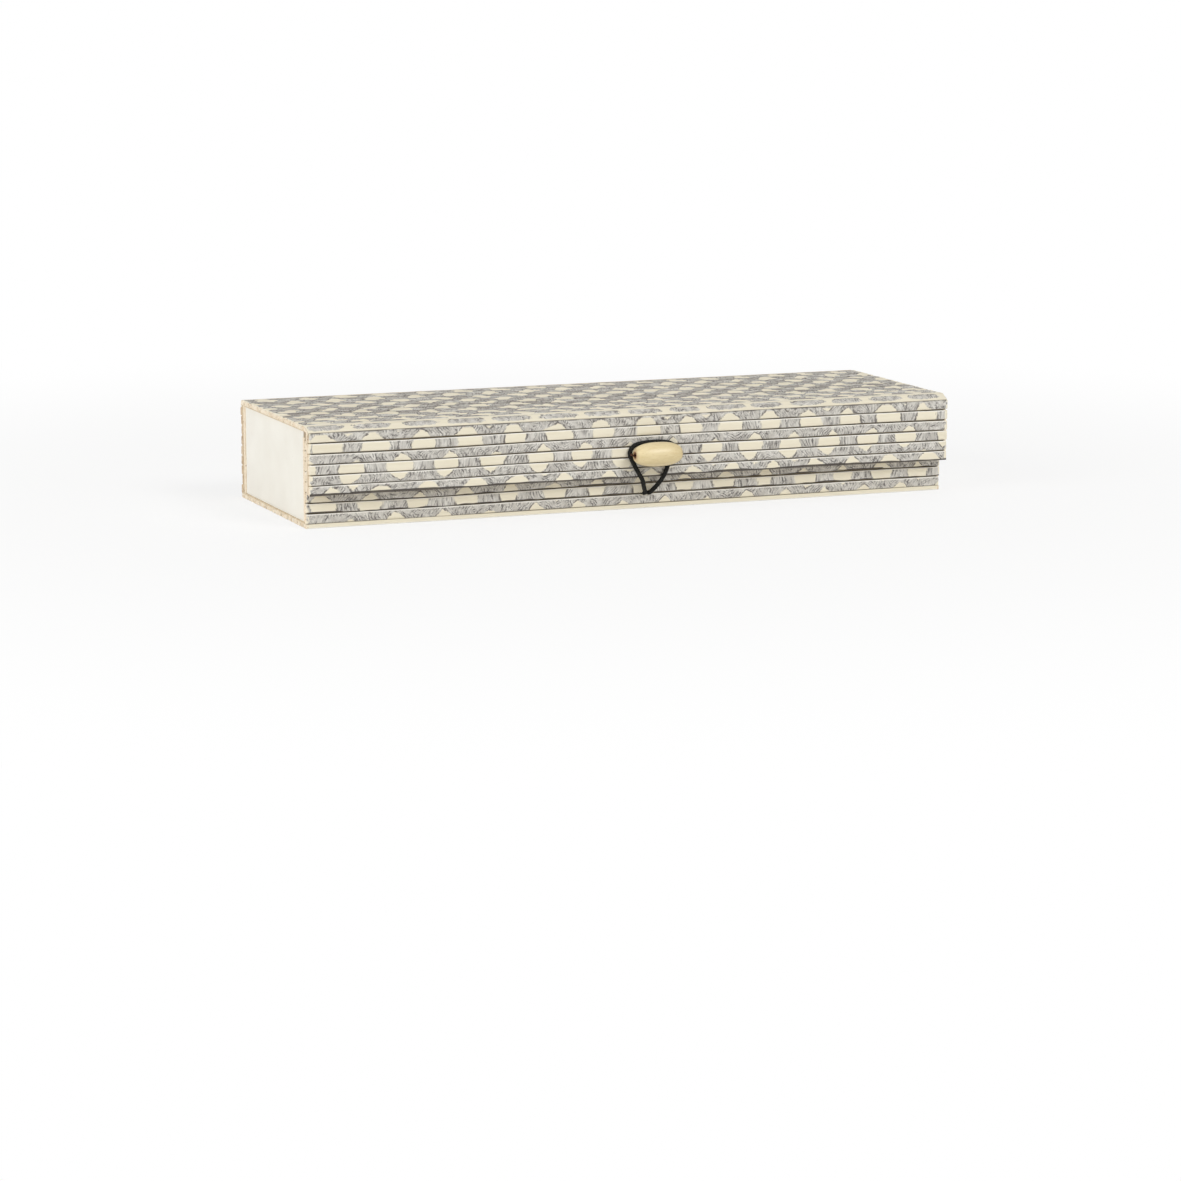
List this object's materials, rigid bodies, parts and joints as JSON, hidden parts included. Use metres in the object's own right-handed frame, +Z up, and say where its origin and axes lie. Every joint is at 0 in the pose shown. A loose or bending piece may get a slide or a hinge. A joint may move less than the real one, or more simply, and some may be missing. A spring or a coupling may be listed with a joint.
{
  "type": "flip lid box",
  "caption": "Long low slat-covered box with a cloth-hinged flip lid, front flap, wooden bead and elastic loop closure.",
  "frame": {"origin": "centre of the tray's underside, on the face that the box rests on", "axes": "+X along the box to the right as the flap is faced, -Y out of the flap, +Z up"},
  "size_m": [0.26, 0.0984, 0.0382],
  "materials": {
    "printed_slats": "thin bamboo slats, cream with a grey-blue spotted print, matte",
    "backing_cloth": "plain unbleached weave",
    "board": "tan pressed board, raw cut edges",
    "end_paper": "smooth off-white paper",
    "lining_paper": "plain cream paper",
    "bead_wood": "turned pale wood, thin satin varnish",
    "black_cord": "black braided elastic",
    "tie_thread": "dark brown twisted thread"
  },
  "bodies": {
    "tray": {"bottom_slats": "printed_slats", "back_slats": "printed_slats", "front_slat_1": "printed_slats", "front_slat_2": "printed_slats", "front_slat_3": "printed_slats", "front_slat_4": "printed_slats", "front_slat_5": "printed_slats", "front_slat_6": "printed_slats", "front_slat_7": "printed_slats", "front_slat_8": "printed_slats", "base_cloth": "backing_cloth", "hinge_cloth": "backing_cloth", "bottom_board": "board", "front_board": "board", "back_board": "board", "end_board_left": "board", "end_board_right": "board", "end_paper_left": "end_paper", "end_paper_right": "end_paper", "tray_lining": "lining_paper", "loop_knot": "black_cord"},
    "lid": {"top_slat_1": "printed_slats", "top_slat_2": "printed_slats", "top_slat_3": "printed_slats", "top_slat_4": "printed_slats", "top_slat_5": "printed_slats", "top_slat_6": "printed_slats", "top_slat_7": "printed_slats", "top_slat_8": "printed_slats", "top_slat_9": "printed_slats", "top_slat_10": "printed_slats", "top_slat_11": "printed_slats", "top_slat_12": "printed_slats", "top_slat_13": "printed_slats", "top_slat_14": "printed_slats", "top_slat_15": "printed_slats", "top_slat_16": "printed_slats", "top_slat_17": "printed_slats", "top_slat_18": "printed_slats", "top_slat_19": "printed_slats", "top_slat_20": "printed_slats", "top_slat_21": "printed_slats", "edge_slat": "printed_slats", "flap_slat_1": "printed_slats", "flap_slat_2": "printed_slats", "flap_slat_3": "printed_slats", "flap_slat_4": "printed_slats", "flap_slat_5": "printed_slats", "flap_slat_6": "printed_slats", "lid_cloth": "backing_cloth", "lid_board": "board", "flap_board": "board", "lid_lining": "lining_paper", "bead_tie": "tie_thread", "tie_knots": "tie_thread"},
    "bead": {"bead": "bead_wood"},
    "loop": {"elastic_loop": "black_cord"}
  },
  "joints": [
    {"name": "lid_hinge", "type": "hinge", "parent": "tray", "child": "lid", "pos_m": [0, 0.0394, 0.0361], "axis": [-1, 0, 0], "range_deg": [0, 115], "deforming": ["hinge_cloth"]},
    {"name": "loop_swing", "type": "hinge", "parent": "tray", "child": "loop", "pos_m": [0.0055, -0.0424, 0.0056], "axis": [1, 0, 0], "range_deg": [0, 85], "deforming": ["elastic_loop"]},
    {"name": "bead_roll", "type": "hinge", "parent": "lid", "child": "bead", "pos_m": [0.0055, -0.0523, 0.02209], "axis": [1, 0, 0], "continuous": true}
  ]
}
